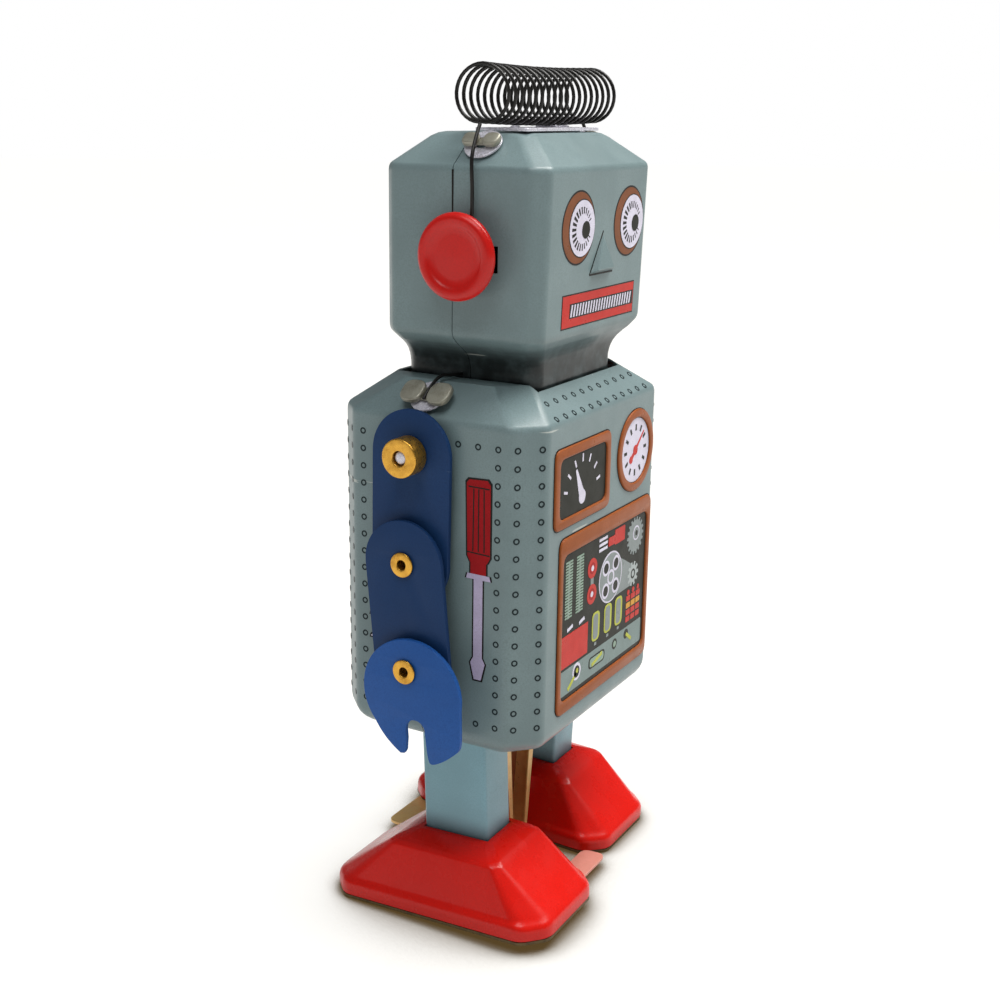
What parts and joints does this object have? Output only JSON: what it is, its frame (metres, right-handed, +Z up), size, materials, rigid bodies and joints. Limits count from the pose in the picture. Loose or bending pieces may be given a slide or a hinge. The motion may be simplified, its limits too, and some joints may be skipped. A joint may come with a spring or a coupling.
{
  "type": "toy robot",
  "caption": "Upright tinplate clockwork robot with a box head, coil-spring antenna, riveted plate arms with spanner hands, swinging legs, wide feet and a winding key.",
  "frame": {"origin": "bottom centre of the whole toy's box, on the surface that the feet stand on", "axes": "+Z up; the robot faces -Y; its own right side is -X"},
  "size_m": [0.0888, 0.0754, 0.1991],
  "materials": {
    "body_grey": "semi-gloss lacquer on tinplate",
    "leg_grey": "semi-gloss lacquer on tinplate",
    "red_paint": "gloss enamel",
    "navy_paint": "gloss enamel",
    "blue_paint": "gloss enamel",
    "brass": "polished",
    "gold_tin": "gold lacquer on tinplate",
    "bright_tin": "bright tin",
    "black_wire": "black oxide",
    "spring_steel": "blued"
  },
  "bodies": {
    "trunk": {"body_front_shell": "body_grey", "body_back_shell": "body_grey", "head_front_shell": "body_grey", "head_back_shell": "body_grey", "ear_right": "red_paint", "ear_left": "red_paint", "shoulder_collar_right": "brass", "shoulder_collar_left": "brass", "centre_strut": "gold_tin", "antenna_wire_right": "black_wire", "antenna_wire_left": "black_wire", "neck_wire_right": "black_wire", "neck_wire_left": "black_wire", "antenna_spring": "black_wire", "mainspring": "spring_steel", "head_clip_right": "bright_tin", "head_clip_left": "bright_tin", "head_washer_right": "bright_tin", "head_washer_left": "bright_tin", "shoulder_clip_right": "bright_tin", "shoulder_clip_left": "bright_tin", "shoulder_washer_right": "bright_tin", "shoulder_washer_left": "bright_tin", "shoulder_pin_right": "bright_tin", "shoulder_pin_left": "bright_tin", "antenna_plate": "bright_tin", "motor_front_plate": "bright_tin", "motor_back_plate": "bright_tin", "motor_pillar_low_right": "bright_tin", "motor_pillar_low_left": "bright_tin", "motor_pillar_high_right": "bright_tin", "motor_pillar_high_left": "bright_tin", "hip_axle": "bright_tin", "click": "bright_tin"},
    "winder": {"winding_arbor": "bright_tin", "ratchet_wheel": "bright_tin", "winding_key": "bright_tin"},
    "great_wheel": {"great_wheel": "brass"},
    "drive": {"drive_arbor": "bright_tin", "crown_wheel": "brass"},
    "crank": {"crank_shaft": "bright_tin"},
    "right_upper_arm": {"upper_arm_right": "navy_paint", "elbow_rivet_right": "brass"},
    "right_forearm": {"forearm_right": "navy_paint", "wrist_rivet_right": "brass"},
    "right_hand": {"hand_right": "blue_paint"},
    "right_leg": {"leg_right": "leg_grey", "foot_right": "red_paint", "sole_right": "bright_tin"},
    "left_upper_arm": {"upper_arm_left": "navy_paint", "elbow_rivet_left": "brass"},
    "left_forearm": {"forearm_left": "navy_paint", "wrist_rivet_left": "brass"},
    "left_hand": {"hand_left": "blue_paint"},
    "left_leg": {"leg_left": "leg_grey", "foot_left": "red_paint", "sole_left": "bright_tin"}
  },
  "joints": [
    {"name": "winding", "type": "hinge", "parent": "trunk", "child": "winder", "pos_m": [0, 0, 0.092], "axis": [0, 1, 0], "continuous": true},
    {"name": "great_wheel_turn", "type": "hinge", "parent": "trunk", "child": "great_wheel", "pos_m": [0, 0.00675, 0.092], "axis": [0, 1, 0], "continuous": true},
    {"name": "drive_turn", "type": "hinge", "parent": "trunk", "child": "drive", "pos_m": [0, 0.00675, 0.073], "axis": [0, 1, 0], "continuous": true},
    {"name": "crank_turn", "type": "hinge", "parent": "trunk", "child": "crank", "pos_m": [0, -0.00675, 0.073], "axis": [1, 0, 0], "continuous": true},
    {"name": "right_shoulder", "type": "hinge", "parent": "trunk", "child": "right_upper_arm", "pos_m": [-0.0374, -0.00145, 0.115], "axis": [1, 0, 0], "continuous": true},
    {"name": "right_elbow", "type": "hinge", "parent": "right_upper_arm", "child": "right_forearm", "pos_m": [-0.0402, -0.00105, 0.09], "axis": [1, 0, 0], "range_deg": [-108, 108]},
    {"name": "right_wrist", "type": "hinge", "parent": "right_forearm", "child": "right_hand", "pos_m": [-0.043, -0.00335, 0.0656], "axis": [1, 0, 0], "range_deg": [-120, 120]},
    {"name": "left_shoulder", "type": "hinge", "parent": "trunk", "child": "left_upper_arm", "pos_m": [0.0374, -0.00145, 0.115], "axis": [1, 0, 0], "continuous": true},
    {"name": "left_elbow", "type": "hinge", "parent": "left_upper_arm", "child": "left_forearm", "pos_m": [0.0402, -0.00105, 0.09], "axis": [1, 0, 0], "range_deg": [-108, 108]},
    {"name": "left_wrist", "type": "hinge", "parent": "left_forearm", "child": "left_hand", "pos_m": [0.043, -0.00335, 0.0656], "axis": [1, 0, 0], "range_deg": [-120, 120]},
    {"name": "right_hip", "type": "hinge", "parent": "trunk", "child": "right_leg", "pos_m": [-0.0181, -0.00525, 0.1], "axis": [1, 0, 0], "range_deg": [0, 4.6]},
    {"name": "left_hip", "type": "hinge", "parent": "trunk", "child": "left_leg", "pos_m": [0.0181, -0.00525, 0.1], "axis": [1, 0, 0], "range_deg": [-4.6, 0]}
  ],
  "couplings": [
    {"joint": "great_wheel_turn", "follows": "drive_turn", "ratio": -0.27778},
    {"joint": "crank_turn", "follows": "drive_turn", "ratio": -3},
    {"joint": "left_hip", "follows": "right_hip", "ratio": -1}
  ]
}
